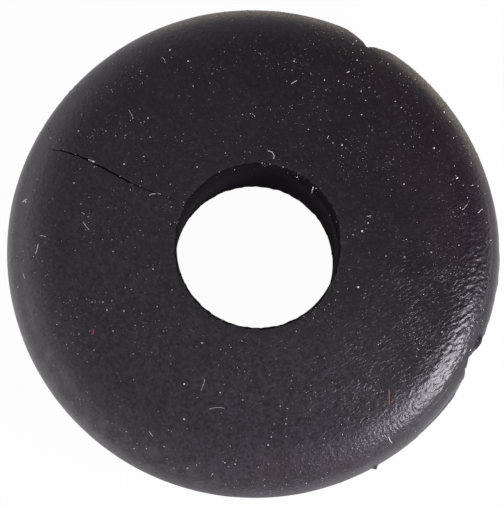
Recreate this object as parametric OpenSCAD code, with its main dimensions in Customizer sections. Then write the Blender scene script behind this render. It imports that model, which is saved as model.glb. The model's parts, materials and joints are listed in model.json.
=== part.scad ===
// Moulded rubber sealing ring: a thick flat ring with full round shoulders, a plain bore and a low
// bead round its side where the two halves of the mould met. It is worn: the upper face has a
// long radial crack, and the rim has two torn places and one whisker of flash.
// Millimetres. The ring lies flat on z = 0 with its axis on +Z.

/* [Ring] */
// Outside diameter, measured over the parting bead
outer_d = 32; // [26:0.5:44]
// Diameter of the bore
bore_d = 10.3; // [5:0.1:14]
// How far the bore sits off the middle of the ring, along X
bore_shift_x = 0.1; // [-0.5:0.05:0.5]
// How far the bore sits off the middle of the ring, along Y
bore_shift_y = -0.3; // [-0.5:0.05:0.5]
// Thickness between the two flat faces
thickness = 7; // [6:0.25:12]
// Radius of the rounded shoulders, top and bottom
shoulder_r = 2.7; // [1:0.1:2.9]
// Radius of the rounded edge at each mouth of the bore
mouth_r = 0.2; // [0.1:0.05:0.8]

/* [Parting bead] */
// How far the bead stands out of the side wall
bead_h = 0.15; // [0.05:0.05:0.4]
// Radius of the bead's rounded crest
bead_r = 0.6; // [0.45:0.05:1.2]
// Length of the flash whisker beyond the bead
whisker_h = 0.22; // [0.1:0.02:0.5]
// Width of the flash whisker at its root
whisker_w = 0.5; // [0.3:0.05:1]
// Thickness of the flash whisker
whisker_t = 0.35; // [0.2:0.05:0.5]
// Bearing of the flash whisker, anticlockwise from +X
whisker_bearing = 299; // [0:1:359]

/* [Crack in the upper face] */
// Widest gape of the crack
crack_gape = 0.14; // [0.06:0.02:0.4]
// Depth of the crack below the upper face
crack_depth = 1.2; // [0.8:0.1:2.5]
// Distance of the crack's outer end from the side wall
crack_outer_gap = 1.15; // [0.3:0.05:2]
// Distance of the crack's inner end from the bore wall
crack_inner_gap = 0.75; // [0.5:0.05:3]
// Bearing of the crack's outer end, from the middle of the ring
crack_outer_bearing = 155.5; // [0:0.5:359]
// Bearing of the crack's inner end, from the middle of the bore
crack_inner_bearing = 150; // [0:0.5:359]
// How far the crack wanders off the straight line between its ends
crack_sway = 0.2; // [0:0.02:0.6]

/* [Torn places in the rim] */
// Bearing of the notch where the rim has split
notch_bearing = 61; // [0:1:359]
// Depth of that notch into the rim
notch_depth = 1.1; // [0.2:0.05:1.5]
// Length of that notch on its anticlockwise side
notch_run_left = 1.1; // [0.4:0.1:2.5]
// Length of that notch on its clockwise side
notch_run_right = 2.2; // [0.4:0.1:4]
// Length of the hairline split that runs inwards from the notch
split_length = 1.2; // [0.5:0.1:3]
// Gape of that split
split_gape = 0.06; // [0.04:0.01:0.2]
// Bearing of the tear where a scrap of the rim has come away
tear_bearing = 332; // [0:1:359]
// Depth of that tear into the rim
tear_depth = 0.45; // [0.2:0.05:1]
// Length of the tear on its anticlockwise side
tear_run_left = 1.2; // [0.4:0.1:2.5]
// Length of the tear on its clockwise side
tear_run_right = 0.5; // [0.4:0.1:2.5]

/* [Hidden] */
$fn = 96;
rubber_black = [0.17, 0.16, 0.17];
bore_r = bore_d / 2;
bore_middle = [bore_shift_x, bore_shift_y];
outer_r = outer_d / 2;
wall_r = outer_r - bead_h;
bead_z = thickness / 2;
// Straight steps in the line of the crack
crack_steps = 10;
// How much of the sway is gone at the crack's inner end
sway_fade = 0.5;
// Share of the widest gape that each tip of a slit still has
tip_share = 0.12;
// Overlap that keeps a cut or a joined piece clear of the surface it meets
eps = 0.05;

function polar(r, bearing) = [r * cos(bearing), r * sin(bearing)];

// Ends of the crack's line, and the directions along and across it
crack_start = polar(wall_r - crack_outer_gap, crack_outer_bearing);
crack_end = bore_middle + polar(bore_r + crack_inner_gap, crack_inner_bearing);
crack_along = (crack_end - crack_start) / norm(crack_end - crack_start);
crack_across = [-crack_along.y, crack_along.x];

// Point on the crack's line, from its outer end at t = 0 to its inner end at t = 1
function crack_point(t) =
    crack_start + (crack_end - crack_start) * t
    + crack_across * crack_sway * sin(360 * t) * (1 - sway_fade * t);

// Half the gape of a slit at t, widest at its middle and nearly closed at both tips
function half_gape(gape, t) = gape / 2 * (tip_share + (1 - tip_share) * sin(180 * t));

// Outline of the crack in plan, down one lip and back up the other
function crack_outline() =
    let (stops = [for (i = [0:crack_steps]) i / crack_steps])
    concat(
        [for (t = stops) crack_point(t) + crack_across * half_gape(crack_gape, t)],
        [for (t = stops) crack_point(1 - t) - crack_across * half_gape(crack_gape, 1 - t)]
    );

// A square corner of side r less the quarter circle that rounds it, with the round towards +X +Y
module corner_waste(r) {
    difference() {
        translate([-eps, -eps]) square(r + eps);
        translate([r, r]) circle(r);
    }
}

// Half of the ring's section, as a disc with no bore
module half_section() {
    difference() {
        square([wall_r, thickness]);
        translate([wall_r, 0]) mirror([1, 0]) corner_waste(shoulder_r);
        translate([wall_r, thickness]) mirror([1, 0]) mirror([0, 1]) corner_waste(shoulder_r);
    }
    translate([outer_r - bead_r, bead_z]) circle(bead_r);
}

// The bore, with a rounded edge at each mouth
module bore() {
    translate(bore_middle) rotate_extrude() {
        translate([0, -eps]) square([bore_r, thickness + 2 * eps]);
        translate([bore_r, 0]) corner_waste(mouth_r);
        translate([bore_r, thickness]) mirror([0, 1]) corner_waste(mouth_r);
    }
}

// The long crack, open at the upper face
module crack() {
    translate([0, 0, thickness - crack_depth])
        linear_extrude(crack_depth + eps) polygon(crack_outline());
}

// A three-cornered bite down the rim, deepest at the bearing
module rim_bite(bearing, depth, run_left, run_right) {
    function rim_x(run) = outer_r - run * run / outer_d;
    rotate(bearing) translate([0, 0, -eps])
        linear_extrude(thickness + 2 * eps)
            polygon([
                [outer_r - depth, 0],
                [rim_x(run_left) + eps, run_left],
                [outer_r + depth, run_left],
                [outer_r + depth, -run_right],
                [rim_x(run_right) + eps, -run_right],
            ]);
}

// The hairline split that runs from the bottom of the notch on to the upper shoulder
module rim_split() {
    rotate(notch_bearing) translate([0, 0, bead_z])
        linear_extrude(thickness - bead_z + eps)
            polygon([
                [outer_r - notch_depth - split_length, 0],
                [outer_r, split_gape / 2],
                [outer_r, -split_gape / 2],
            ]);
}

// The whisker of flash that was left on the bead
module whisker() {
    rotate(whisker_bearing) translate([outer_r, 0, bead_z - whisker_t / 2])
        linear_extrude(whisker_t)
            polygon([[-bead_h, -whisker_w / 2], [whisker_h, 0], [-bead_h, whisker_w / 2]]);
}

module sealing_ring() {
    color(rubber_black) {
        difference() {
            union() {
                rotate_extrude() half_section();
                whisker();
            }
            bore();
            crack();
            rim_split();
            rim_bite(notch_bearing, notch_depth, notch_run_left, notch_run_right);
            rim_bite(tear_bearing, tear_depth, tear_run_left, tear_run_right);
        }
    }
}

sealing_ring();
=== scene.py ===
"""Looks of a worn black rubber sealing ring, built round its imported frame.

The ring is one moulded piece. Its section is revolved and then weathered: a crack across the upper
face, torn places in the rim, a crumbling bore mouth and short folds on one shoulder. Dust and lint
lie on it. Lengths in the classes are millimetres and bearings are degrees anticlockwise from +X;
the meshes themselves are in metres.
"""

import json
import logging
import math
from collections.abc import Callable, Iterator
from dataclasses import dataclass, replace
from enum import Enum
from typing import Any, Union

import bpy
from mathutils import Matrix, Vector


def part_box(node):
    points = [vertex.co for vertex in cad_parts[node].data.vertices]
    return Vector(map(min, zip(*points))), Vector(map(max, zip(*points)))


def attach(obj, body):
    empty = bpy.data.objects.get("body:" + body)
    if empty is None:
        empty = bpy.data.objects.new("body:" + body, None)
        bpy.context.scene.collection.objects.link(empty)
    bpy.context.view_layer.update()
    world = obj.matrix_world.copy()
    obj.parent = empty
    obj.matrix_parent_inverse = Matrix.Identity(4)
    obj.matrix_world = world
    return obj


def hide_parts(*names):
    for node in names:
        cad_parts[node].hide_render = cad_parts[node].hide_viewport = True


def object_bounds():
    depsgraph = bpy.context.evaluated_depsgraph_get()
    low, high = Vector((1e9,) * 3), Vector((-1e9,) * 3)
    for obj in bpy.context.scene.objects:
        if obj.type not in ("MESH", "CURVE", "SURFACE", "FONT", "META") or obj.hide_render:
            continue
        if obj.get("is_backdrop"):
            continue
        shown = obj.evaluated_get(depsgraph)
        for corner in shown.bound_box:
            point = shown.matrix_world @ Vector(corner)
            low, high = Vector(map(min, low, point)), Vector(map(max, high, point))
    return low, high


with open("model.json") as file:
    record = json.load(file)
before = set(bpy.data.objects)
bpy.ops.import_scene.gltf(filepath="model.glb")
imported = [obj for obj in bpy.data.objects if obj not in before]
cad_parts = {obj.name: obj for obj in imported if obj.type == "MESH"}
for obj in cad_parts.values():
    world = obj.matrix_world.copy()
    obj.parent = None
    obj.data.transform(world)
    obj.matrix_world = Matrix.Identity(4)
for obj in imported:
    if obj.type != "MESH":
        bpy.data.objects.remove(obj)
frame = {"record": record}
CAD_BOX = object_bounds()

LOG = logging.getLogger("sealing_ring")
MM = 0.001
PER_M = 1000.0
BODY = "root"
NODE = "sealing_ring"
SHADE = "shade"

Value = Union["Sock", float]
Colour = tuple[float, float, float]
Pair = tuple[float, float]

BLACK: Colour = (0.0, 0.0, 0.0)
WHITE: Colour = (1.0, 1.0, 1.0)


class Slot(Enum):
    """Material slots of the record."""

    RUBBER = "rubber"


class Tint(Enum):
    """Colours of the lint that lies on the ring, in linear light."""

    PALE = (0.62, 0.60, 0.58)
    ORANGE = (0.36, 0.145, 0.09)
    RED = (0.12, 0.022, 0.042)


class InputKind(Enum):
    """Kinds of named input that a Geometry Nodes tree takes."""

    NUMBER = "NodeSocketFloat"
    COUNT = "NodeSocketInt"
    OBJECT = "NodeSocketObject"
    VECTOR = "NodeSocketVector"


def joined(operation: str, swapped: bool = False) -> Callable[["Sock", Value], "Sock"]:
    """Makes an operator that adds a Math node.

    Args:
        operation: The node's operation.
        swapped: Whether the socket is the second of the two values.

    Returns:
        The operator's method.
    """

    def operate(self: "Sock", other: Value) -> "Sock":
        """Joins the socket and another value."""
        pair = (other, self) if swapped else (self, other)
        return self.pen.math(operation, *pair)

    return operate


class Sock:
    """A node's output that takes part in Python arithmetic by adding Math nodes to its tree."""

    __add__ = joined("ADD")
    __radd__ = joined("ADD", swapped=True)
    __sub__ = joined("SUBTRACT")
    __rsub__ = joined("SUBTRACT", swapped=True)
    __mul__ = joined("MULTIPLY")
    __rmul__ = joined("MULTIPLY", swapped=True)
    __truediv__ = joined("DIVIDE")
    __rtruediv__ = joined("DIVIDE", swapped=True)
    __pow__ = joined("POWER")

    def __init__(self, pen: "Pen", socket: bpy.types.NodeSocket) -> None:
        """Wraps a socket of the tree that the pen draws in."""
        self.pen = pen
        self.socket = socket

    def __getitem__(self, name: str) -> "Sock":
        """Gives the output of that name on the same node."""
        return Sock(self.pen, self.pen.pick(self.socket.node.outputs, name))

    def __neg__(self) -> "Sock":
        """Changes the sign."""
        return self * -1.0

    def __abs__(self) -> "Sock":
        """Drops the sign."""
        return self.pen.math("ABSOLUTE", self)


class Pen:
    """Adds nodes to one tree and links them."""

    def __init__(self, tree: bpy.types.NodeTree) -> None:
        """Starts drawing in a tree."""
        self.tree = tree

    @staticmethod
    def pick(sockets: Any, name: Union[str, int]) -> bpy.types.NodeSocket:
        """Finds a socket among a node's inputs or outputs.

        Args:
            sockets: The node's inputs or outputs.
            name: The socket's name, or its place where several share a name.

        Returns:
            The first socket in use that fits.
        """
        if isinstance(name, int):
            return sockets[name]
        return next(s for s in sockets if s.name == name and s.enabled)

    def add(
        self,
        kind: str,
        values: Union[dict[Union[str, int], Any], None] = None,
        output: Union[str, int] = 0,
        **settings: Any,
    ) -> Sock:
        """Adds a node.

        Args:
            kind: The node's type.
            values: Values or links of its inputs, by name or place.
            output: The output to give back, where it isn't the first.
            settings: The node's properties, which are set first.

        Returns:
            That output of the new node.
        """
        node = self.tree.nodes.new(kind)
        for name, setting in settings.items():
            setattr(node, name, setting)
        for name, value in (values or {}).items():
            socket = self.pick(node.inputs, name)
            if isinstance(value, Sock):
                self.tree.links.new(value.socket, socket)
            else:
                socket.default_value = value
        if output != 0:
            return Sock(self, self.pick(node.outputs, output))
        return Sock(self, next((s for s in node.outputs if s.enabled), None))

    def math(self, operation: str, *values: Value) -> Sock:
        """Adds a Math node with these values."""
        return self.add("ShaderNodeMath", dict(enumerate(values)), operation=operation)

    def vectors(self, operation: str, *values: Any) -> Sock:
        """Adds a Vector Math node with these vectors."""
        return self.add("ShaderNodeVectorMath", dict(enumerate(values)), operation=operation)

    def tanh(self, value: Value) -> Sock:
        """Takes the hyperbolic tangent."""
        return self.math("TANH", value)

    def most(self, first: Value, second: Value) -> Sock:
        """Takes the greater of two values."""
        return self.math("MAXIMUM", first, second)

    def clamp(self, value: Value) -> Sock:
        """Keeps a value from 0 to 1."""
        return self.math("MINIMUM", self.most(value, 0.0), 1.0)

    def rise(self, value: Value, low: float, high: float) -> Sock:
        """Rises smoothly from 0 where value is low to 1 where it is high.

        Args:
            value: What is measured.
            low: Where the rise starts. It may be above high, and the rise is then a fall.
            high: Where the rise ends.

        Returns:
            A share from 0 to 1.
        """
        start, end, first, last = (low, high, 0.0, 1.0) if low < high else (high, low, 1.0, 0.0)
        limits = {"From Min": start, "From Max": end, "To Min": first, "To Max": last}
        values = {"Value": value, **limits}
        return self.add("ShaderNodeMapRange", values, interpolation_type="SMOOTHSTEP")

    def scaled(self, vector: Sock, factor: Value) -> Sock:
        """Multiplies a vector by a number."""
        values = {"Vector": vector, "Scale": factor}
        return self.add("ShaderNodeVectorMath", values, operation="SCALE")

    def vector(self, x: Value, y: Value, z: Value) -> Sock:
        """Makes a vector of three numbers."""
        return self.add("ShaderNodeCombineXYZ", {"X": x, "Y": y, "Z": z})

    def parts(self, vector: Sock) -> Sock:
        """Takes a vector apart and gives its X, of which Y and Z are asked by name."""
        return self.add("ShaderNodeSeparateXYZ", {"Vector": vector})

    def random(self, low: float, high: float, seed: int) -> Sock:
        """Gives each point or copy a number of its own between two limits."""
        values = {"Min": low, "Max": high, "Seed": seed}
        return self.add("FunctionNodeRandomValue", values, data_type="FLOAT")

    def stored(self, geometry: Sock, name: str, value: Value, domain: str) -> Sock:
        """Keeps a value on the points or the copies of a geometry under a name."""
        values = {"Geometry": geometry, "Name": name, "Value": value}
        return self.add("GeometryNodeStoreNamedAttribute", values, domain=domain)

    def recalled(self, name: str) -> Sock:
        """Reads the value that a geometry's points keep under a name."""
        kind = "GeometryNodeInputNamedAttribute"
        return self.add(kind, {"Name": name}, "Attribute", data_type="FLOAT")

    def painted(self, name: str) -> Sock:
        """Reads the value that a mesh keeps under a name, in a material."""
        return self.add("ShaderNodeAttribute", None, "Fac", attribute_name=name)

    def mixed(self, share: Value, first: Any, second: Any) -> Sock:
        """Mixes two colours.

        Args:
            share: How much of the second colour is taken.
            first: A colour or a link.
            second: A colour or a link.

        Returns:
            The mixed colour.
        """
        full = [c if isinstance(c, Sock) else (*c, 1.0) for c in (first, second)]
        values = {"Factor": share, "A": full[0], "B": full[1]}
        return self.add("ShaderNodeMix", values, data_type="RGBA")


@dataclass(frozen=True)
class Place:
    """Where a point of the ring is, in sockets that hold millimetres and radians.

    The bearing runs on for one turn from the seam, so nothing near a fault jumps by a turn.
    """

    pen: Pen
    at: Sock
    radius: Sock
    bearing: Sock
    height: Sock

    @classmethod
    def of(cls, pen: Pen, position: Sock, seam: float, centre: Pair = (0.0, 0.0)) -> "Place":
        """Measures a position that is given in metres.

        Args:
            pen: What draws in the tree.
            position: The point's place.
            seam: Bearing in degrees at which the bearings start.
            centre: X and Y of the axis that radius and bearing are measured from.

        Returns:
            The place.
        """
        at = pen.scaled(position, PER_M)
        parts = pen.parts(at)
        x, y = parts - centre[0], parts["Y"] - centre[1]
        start = math.radians(seam)
        bearing = pen.math("WRAP", pen.math("ARCTAN2", y, x), start + math.tau, start)
        return cls(pen, at, pen.math("SQRT", x * x + y * y), bearing, parts["Z"])

    def noise(self, scale: float, detail: float, seed: Value) -> Sock:
        """Gives noise from about 0 to 1 with that many waves to the millimetre."""
        values = {"Vector": self.at, "W": seed, "Scale": scale, "Detail": detail}
        return self.pen.add("ShaderNodeTexNoise", values, "Fac", noise_dimensions="4D")


@dataclass(frozen=True)
class Side:
    """What grows towards a bearing, from 0 at one distance from the axis to its height at another."""

    bearing: float
    start: float
    full: float
    height: float = 1.0

    def at(self, place: Place) -> Sock:
        """Gives its height at a place."""
        turn = math.radians(self.bearing)
        x = place.pen.parts(place.at)
        reach = x * math.cos(turn) + x["Y"] * math.sin(turn)
        return place.pen.rise(reach, self.start, self.full) * self.height


@dataclass(frozen=True)
class Sector:
    """A stretch of the ring, whole within near degrees of a bearing and gone beyond far degrees."""

    bearing: float
    far: float
    near: float

    def at(self, place: Place) -> Sock:
        """Gives its share at a place."""
        turn = place.bearing - math.radians(self.bearing)
        aside = abs(place.pen.math("WRAP", turn, math.pi, -math.pi))
        return place.pen.rise(aside, math.radians(self.far), math.radians(self.near))


@dataclass(frozen=True)
class Grain:
    """Noise from about 0 to its height, with scale waves to the millimetre."""

    scale: float
    detail: float
    seed: float
    height: float = 1.0

    def at(self, place: Place) -> Sock:
        """Gives its height at a place."""
        return place.noise(self.scale, self.detail, self.seed) * self.height


@dataclass(frozen=True)
class Swing(Grain):
    """Noise that swings to either side of 0."""

    def at(self, place: Place) -> Sock:
        """Gives its height at a place."""
        return (place.noise(self.scale, self.detail, self.seed) - 0.5) * self.height


@dataclass(frozen=True)
class Patches:
    """Patches that start where noise is at low and have their full height where it is at high."""

    scale: float
    detail: float
    seed: float
    low: float
    high: float
    height: float = 1.0

    def at(self, place: Place) -> Sock:
        """Gives their height at a place."""
        noise = place.noise(self.scale, self.detail, self.seed)
        return place.pen.rise(noise, self.low, self.high) * self.height


@dataclass(frozen=True)
class Streaks:
    """Noise that is drawn out along one bearing of the plan.

    scale counts the waves to the millimetre across the streaks, turn is their bearing, and stretch
    is how many times longer than wide one is.
    """

    scale: float
    turn: float
    stretch: float
    seed: float
    detail: float = 2.0

    def at(self, place: Place) -> Sock:
        """Gives noise from about 0 to 1 at a place."""
        values = {"Vector": place.at, "Angle": math.radians(-self.turn)}
        turned = place.pen.add("ShaderNodeVectorRotate", values, rotation_type="Z_AXIS")
        drawn = place.pen.vectors("MULTIPLY", turned, (1.0 / self.stretch, 1, 1))
        return replace(place, at=drawn).noise(self.scale, self.detail, self.seed)


class GeometryTool:
    """A Geometry Nodes tree that turns a base mesh into the finished mesh of a piece."""

    def __init__(self, name: str) -> None:
        """Starts a tree with that name."""
        self.tree = bpy.data.node_groups.new(name, "GeometryNodeTree")
        self.pen = Pen(self.tree)
        for side in ("INPUT", "OUTPUT"):
            self.tree.interface.new_socket("Geometry", in_out=side, socket_type="NodeSocketGeometry")
        self.base = self.pen.add("NodeGroupInput")
        self.settings: dict[str, Any] = {}

    def input(self, name: str, kind: InputKind, value: Any) -> Sock:
        """Adds a named input and remembers the value that the piece gives it.

        Args:
            name: The input's name.
            kind: What it holds.
            value: What the piece sets it to.

        Returns:
            The input's socket inside the tree.
        """
        item = self.tree.interface.new_socket(name, in_out="INPUT", socket_type=kind.value)
        self.settings[item.identifier] = value
        return self.base[name]

    def number(self, name: str, value: float) -> Sock:
        """Adds a named input that holds a number."""
        return self.input(name, InputKind.NUMBER, value)

    def laid(
        self, carrier: bpy.types.Object, eye: Vector, start_above: float = 0.5, length: float = 6.0
    ) -> Sock:
        """Moves the base mesh along the photograph's lines of sight until it lies on a piece.

        Args:
            carrier: The piece that it comes to lie on.
            eye: The camera's place in millimetres.
            start_above: How far before the base mesh each line starts.
            length: How far each line is followed.

        Returns:
            The base mesh where it lies. A point that misses the piece stays where it was.
        """
        pen = self.pen
        target = self.input("Carrier", InputKind.OBJECT, carrier)
        camera = self.input("Eye", InputKind.VECTOR, tuple(eye * MM))
        start = self.number("Start Above", start_above)
        under = pen.add("GeometryNodeObjectInfo", {"Object": target}, "Geometry")
        place = pen.add("GeometryNodeInputPosition")
        sight = pen.vectors("NORMALIZE", pen.vectors("SUBTRACT", place, camera))
        ray = {
            "Target Geometry": under,
            "Source Position": pen.vectors("ADD", place, pen.scaled(sight, start * -MM)),
            "Ray Direction": sight,
            "Ray Length": length * MM,
        }
        hit = pen.add("GeometryNodeRaycast", ray, "Hit Position")
        choice = {"Switch": hit["Is Hit"], "False": place, "True": hit}
        lying = pen.add("GeometryNodeSwitch", choice, input_type="VECTOR")
        return pen.add("GeometryNodeSetPosition", {"Geometry": self.base, "Position": lying})

    def strewn(self, points: Sock, radius: float, placing: dict[str, Sock], shade: Sock) -> Sock:
        """Puts a grain on each point.

        Args:
            points: The points.
            radius: The grain's radius before it is scaled.
            placing: The grains' Scale and Rotation.
            shade: How light each grain is.

        Returns:
            The grains.
        """
        ball = {"Radius": radius * MM, "Subdivisions": 1}
        grain = self.pen.add("GeometryNodeMeshIcoSphere", ball)
        values = {"Points": points, "Instance": grain, **placing}
        grains = self.pen.add("GeometryNodeInstanceOnPoints", values)
        return self.pen.stored(grains, SHADE, shade, "INSTANCE")

    def end(self, geometry: Sock, material: bpy.types.Material) -> None:
        """Ends the tree in Realize Instances and Set Material.

        Args:
            geometry: The finished shape.
            material: What it is made of.
        """
        real = self.pen.add("GeometryNodeRealizeInstances", {"Geometry": geometry})
        smooth = self.pen.add("GeometryNodeSetShadeSmooth", {"Geometry": real})
        dressing = {"Geometry": smooth, "Material": material}
        dressed = self.pen.add("GeometryNodeSetMaterial", dressing)
        self.pen.add("NodeGroupOutput", {"Geometry": dressed})

    def make(self, name: str, base: bpy.types.Mesh) -> bpy.types.Object:
        """Runs the tree on a base mesh.

        Args:
            name: The name of the piece.
            base: The mesh that the tree starts from.

        Returns:
            An object at the origin with the result as its plain mesh.
        """
        piece = bpy.data.objects.new(name, base)
        bpy.context.scene.collection.objects.link(piece)
        modifier = piece.modifiers.new("shape", "NODES")
        modifier.node_group = self.tree
        for identifier, value in self.settings.items():
            modifier[identifier] = value
        evaluated = piece.evaluated_get(bpy.context.evaluated_depsgraph_get())
        mesh = bpy.data.meshes.new_from_object(evaluated)
        mesh.name = name
        piece.modifiers.remove(modifier)
        piece.data = mesh
        return piece


def shader_pen(name: str) -> tuple[bpy.types.Material, Pen]:
    """Makes an empty material.

    Args:
        name: The material's name.

    Returns:
        The material and a pen for its tree.
    """
    material = bpy.data.materials.new(name)
    material.use_nodes = True
    material.node_tree.nodes.clear()
    return material, Pen(material.node_tree)


@dataclass(frozen=True)
class PhotoView:
    """The photograph's viewpoint, nearly straight above the ring."""

    width_px: int = 504
    height_px: int = 508
    focal_px: float = 2957.5
    distance: float = 192.0
    tilt: float = 10.05
    swing: float = 12.35
    middle_px: Pair = (254.1, 251.4)
    sensor: float = 36.0
    clip_start: float = 1.0

    def axes(self) -> tuple[Vector, Vector, Vector]:
        """Gives the picture's right and up and the way back to the camera."""
        tilt, swing = math.radians(self.tilt), math.radians(self.swing)
        lean = math.sin(tilt)
        back = Vector((-math.sin(swing) * lean, -math.cos(swing) * lean, math.cos(tilt)))
        up = (Vector((0.0, 1.0, 0.0)) - back * back.y).normalized()
        return up.cross(back), up, back

    def eye(self, middle: Vector) -> Vector:
        """Places the camera so that the ring's middle falls on its pixel.

        Args:
            middle: The ring's middle.

        Returns:
            The camera's place in millimetres.
        """
        right, up, back = self.axes()
        per_px = self.distance / self.focal_px
        aside = (self.middle_px[0] - self.width_px / 2) * per_px
        above = (self.height_px / 2 - self.middle_px[1]) * per_px
        return middle + back * self.distance - right * aside - up * above

    def on_level(self, pixel: Pair, middle: Vector, level: float) -> Vector:
        """Finds what a pixel shows at a level.

        Args:
            pixel: A place in the picture.
            middle: The ring's middle.
            level: Height of the plane that is seen there.

        Returns:
            The point in the plane.
        """
        right, up, back = self.axes()
        across = (pixel[0] - self.width_px / 2) / self.focal_px
        down = (pixel[1] - self.height_px / 2) / self.focal_px
        ray = right * across - up * down - back
        eye = self.eye(middle)
        return eye + ray * ((level - eye.z) / ray.z)

    def build(self, middle: Vector) -> None:
        """Makes the camera.

        Args:
            middle: The ring's middle.
        """
        data = bpy.data.cameras.new("photo_camera")
        data.sensor_width = self.sensor
        data.lens = self.focal_px / max(self.width_px, self.height_px) * self.sensor
        data.clip_start = self.clip_start * MM
        camera = bpy.data.objects.new("photo_camera", data)
        turn = Matrix(self.axes()).transposed().to_4x4()
        camera.matrix_world = Matrix.Translation(self.eye(middle) * MM) @ turn
        bpy.context.scene.collection.objects.link(camera)
        bpy.context.scene.camera = camera


@dataclass(frozen=True)
class Lamp:
    """A soft rectangular lamp that is aimed at the ring."""

    name: str
    bearing: float
    height: float
    distance: float
    width: float
    depth: float
    radiance: float
    colour: Colour = WHITE

    def build(self, target: Vector) -> None:
        """Makes the lamp.

        Args:
            target: The point that it is aimed at.
        """
        data = bpy.data.lights.new(self.name, "AREA")
        data.shape = "RECTANGLE"
        data.size, data.size_y = self.width * MM, self.depth * MM
        data.energy = self.radiance * math.pi * data.size * data.size_y
        data.color = self.colour
        turn, rise = math.radians(self.bearing), math.radians(self.height)
        level = math.cos(rise)
        away = Vector((math.cos(turn) * level, math.sin(turn) * level, math.sin(rise)))
        lamp = bpy.data.objects.new(self.name, data)
        lamp.location = (target + away * self.distance) * MM
        lamp.rotation_mode = "QUATERNION"
        lamp.rotation_quaternion = away.to_track_quat("Z", "Y")
        lamp.visible_camera = False
        bpy.context.scene.collection.objects.link(lamp)


@dataclass(frozen=True)
class Glow:
    """Soft light from one side of the surroundings.

    It starts and is full where the way looked at leans that far towards its bearing, and it fades
    between the heights foot and top, which are sines of the angle above the horizon.
    """

    bearing: float
    level: float
    start: float
    full: float
    foot: float = 1.0
    top: float = 2.0

    def strength(self, pen: Pen, way: Sock) -> Sock:
        """Gives the glow's strength.

        Args:
            pen: What draws in the tree.
            way: X of the way looked in, of which Y and Z are asked by name.

        Returns:
            The strength in that way.
        """
        turn = math.radians(self.bearing)
        facing = pen.rise(way * math.cos(turn) + way["Y"] * math.sin(turn), self.start, self.full)
        return facing * pen.rise(way["Z"], self.top, self.foot) * self.level


@dataclass(frozen=True)
class Studio:
    """The plain pale floor, the surroundings and the lamps.

    near_share, open_share and bore_share are how bright the rubber's gloss sees the floor, beside
    the ring, in the open and through the bore, and brighter and duller change that on some sides.
    shadow_share is how much of the floor's own shading shows.
    """

    floor_half: float = 3000.0
    floor_colour: Colour = (0.8, 0.8, 0.8)
    shadow_share: float = 0.03
    open_ground: Pair = (13.0, 24.0)
    near_share: float = 0.72
    open_share: float = 0.84
    bore_share: float = 0.12
    bore_ground: Pair = (9.0, 5.0)
    brighter: tuple[Side, ...] = (Side(175.0, 0.0, 22.0, 0.4), Side(-35.0, 6.0, 22.0, 0.2))
    duller: Side = Side(265.0, 12.0, 26.0, 0.34)
    tint: Colour = (1.0, 0.965, 1.02)
    dimmest: float = 0.135
    glows: tuple[Glow, ...] = (
        Glow(235.0, 0.44, -0.20, 0.30),
        Glow(174.0, 0.85, 0.2, 0.92, 0.05, 0.85),
        Glow(350.0, 0.20, 0.3, 1.0, 0.1, 0.9),
        Glow(75.0, 0.11, 0.1, 0.9, 0.2, 1.1),
        Glow(140.0, 0.34, 0.0, 0.6, 0.5, 1.2),
    )
    lamps: tuple[Lamp, ...] = (
        Lamp("key_lamp", -28.0, 23.6, 70.0, 29.5, 27.0, 21.0, (0.98, 0.965, 1.03)),
        Lamp("left_strip", 182.0, 5.0, 110.0, 170.0, 18.0, 1.0),
    )

    def build(self, middle: Vector) -> None:
        """Makes everything round the ring.

        Args:
            middle: The ring's middle, at which the lamps are aimed.
        """
        self._floor()
        self._world()
        for lamp in self.lamps:
            lamp.build(middle)

    def _floor(self) -> None:
        """Makes the floor."""
        half = self.floor_half * MM
        mesh = bpy.data.meshes.new("floor")
        corners = [(-half, -half, 0), (half, -half, 0), (half, half, 0), (-half, half, 0)]
        mesh.from_pydata(corners, [], [(0, 1, 2, 3)])
        mesh.materials.append(self._paint())
        floor = bpy.data.objects.new("floor", mesh)
        bpy.context.scene.collection.objects.link(floor)
        floor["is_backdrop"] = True

    def _paint(self) -> bpy.types.Material:
        """Makes the floor's paint, which is white to the eye and keeps a faint shadow. The rubber's gloss
        sees it at a painted level, darker near the ring and under the bore, brighter on two sides and
        duller on one.
        """
        material, pen = shader_pen("pale_floor")
        path = pen.add("ShaderNodeLightPath")
        place = Place.of(pen, pen.add("ShaderNodeTexCoord", None, "Object"), 0.0)
        # Painted shade and light, seen only in the rubber's gloss: darker near the ring and under the
        # bore, brighter on two sides and duller on one.
        away = pen.rise(place.radius, *self.open_ground)
        painted_bore_shade = pen.rise(place.radius, *self.bore_ground) * (self.near_share - self.bore_share)
        level = self.near_share + (self.open_share - self.near_share) * away
        for side in self.brighter:
            level = level + side.at(place)
        level = level - self.duller.at(place) - painted_bore_shade
        seen = path["Is Camera Ray"] + path["Is Transmission Ray"] + path["Is Glossy Ray"]
        share = pen.clamp(seen) * (1.0 - self.shadow_share)
        paint = pen.add("ShaderNodeBsdfDiffuse", {"Color": (*self.floor_colour, 1.0)})
        mirrored = pen.mixed(pen.clamp(level), BLACK, self.tint)
        plain = pen.mixed(path["Is Glossy Ray"], WHITE, mirrored)
        white = pen.add("ShaderNodeEmission", {"Color": plain, "Strength": 1.0})
        surface = pen.add("ShaderNodeMixShader", {0: share, 1: paint, 2: white})
        pen.add("ShaderNodeOutputMaterial", {"Surface": surface})
        return material

    def _world(self) -> None:
        """Makes dim surroundings with soft glows on several sides."""
        world = bpy.data.worlds.new("studio")
        world.use_nodes = True
        world.node_tree.nodes.clear()
        pen = Pen(world.node_tree)
        way = pen.parts(pen.add("ShaderNodeTexCoord", None, "Generated"))
        level: Value = self.dimmest
        for glow in self.glows:
            level = level + glow.strength(pen, way)
        light = pen.add("ShaderNodeBackground", {"Color": (*self.tint, 1.0), "Strength": level})
        pen.add("ShaderNodeOutputWorld", {"Surface": light})
        bpy.context.scene.world = world


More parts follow.
